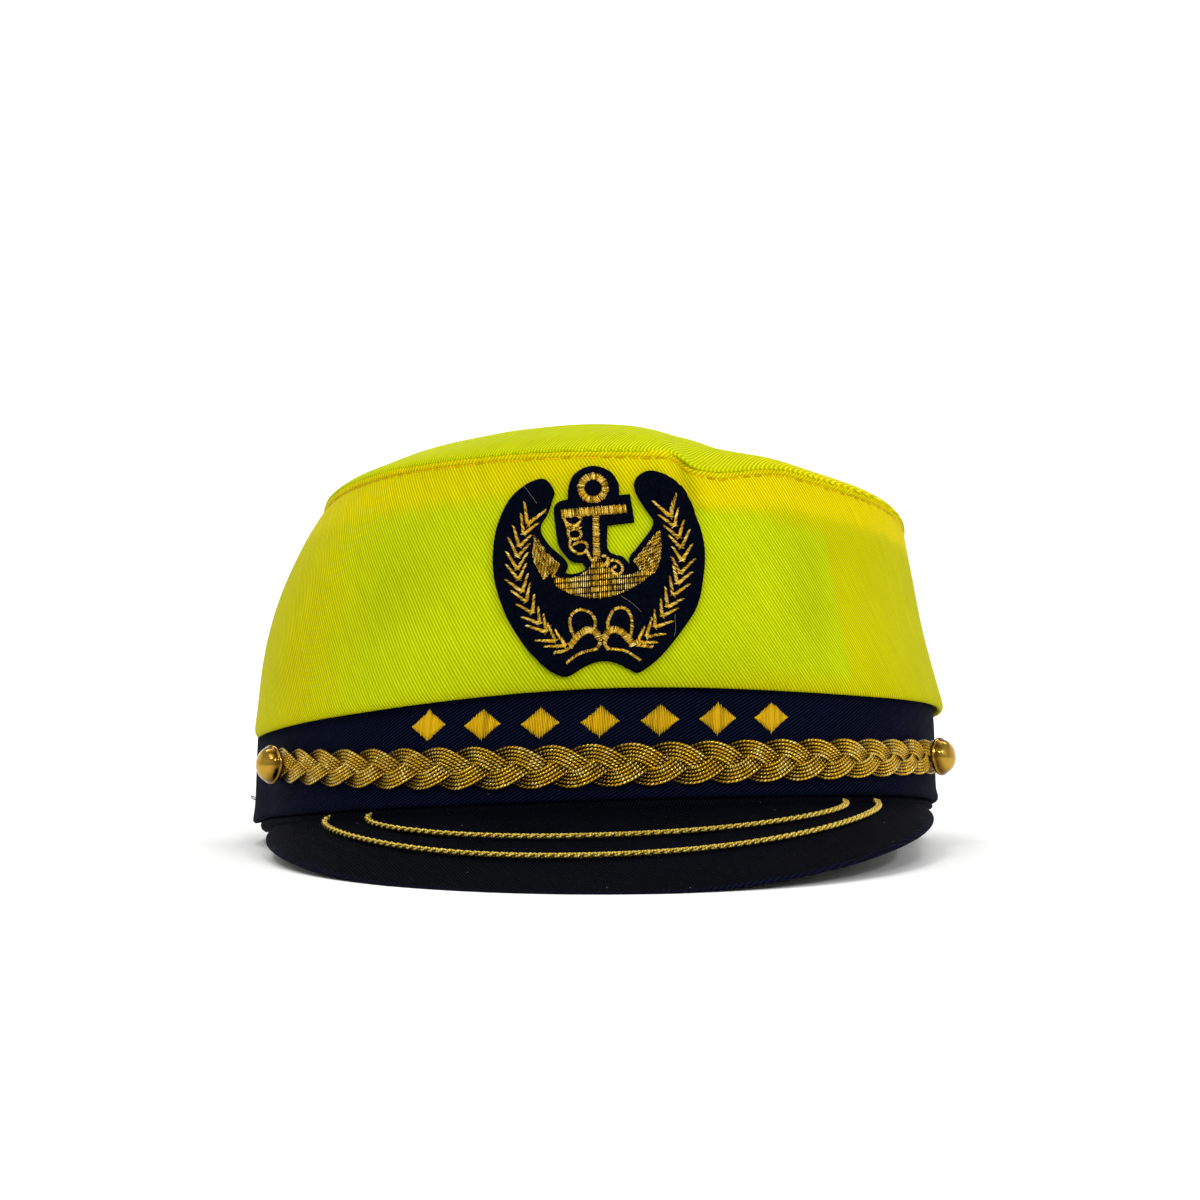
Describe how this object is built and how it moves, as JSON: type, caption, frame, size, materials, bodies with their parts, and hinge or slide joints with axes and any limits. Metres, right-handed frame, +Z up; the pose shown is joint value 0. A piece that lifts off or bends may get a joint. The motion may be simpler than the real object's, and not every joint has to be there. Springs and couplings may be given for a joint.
{
  "type": "captain hat",
  "caption": "Yellow captain hat with a navy band and peak, gold braid and buttons and an anchor badge, resting on its peak and rim.",
  "frame": {"origin": "on the ground under the middle of the hat's bounding box", "axes": "+Z up from the ground it rests on, -Y towards the front of the peak, +X to the right of someone facing the badge"},
  "size_m": [0.2022, 0.2326, 0.1197],
  "materials": {
    "yellow_twill": "bright yellow polyester twill with a soft sheen",
    "navy_twill": "dark navy twill",
    "navy_peak": "near-black navy cloth over a stiff peak",
    "navy_felt": "matt felt",
    "gold_embroidery": "metallic gold thread, satin stitched",
    "gold_braid": "plaited metallic gold gimp",
    "gold_cord": "twisted metallic gold cord",
    "gold_button": "polished gold-coloured dome",
    "yellow_thread": "yellow satin stitch"
  },
  "bodies": {
    "root": {"crown_side": "yellow_twill", "crown_top": "yellow_twill", "band": "navy_twill", "visor": "navy_peak", "visor_cord_outer": "gold_cord", "visor_cord_inner": "gold_cord", "braid": "gold_braid", "button_left": "gold_button", "button_right": "gold_button", "badge_felt": "navy_felt", "badge_anchor": "gold_embroidery", "badge_rope": "gold_embroidery", "badge_bow": "gold_embroidery", "badge_wreath_left": "gold_embroidery", "badge_wreath_right": "gold_embroidery", "motif_1": "yellow_thread", "motif_2": "yellow_thread", "motif_3": "yellow_thread", "motif_4": "yellow_thread", "motif_5": "yellow_thread", "motif_6": "yellow_thread", "motif_7": "yellow_thread"}
  },
  "joints": []
}
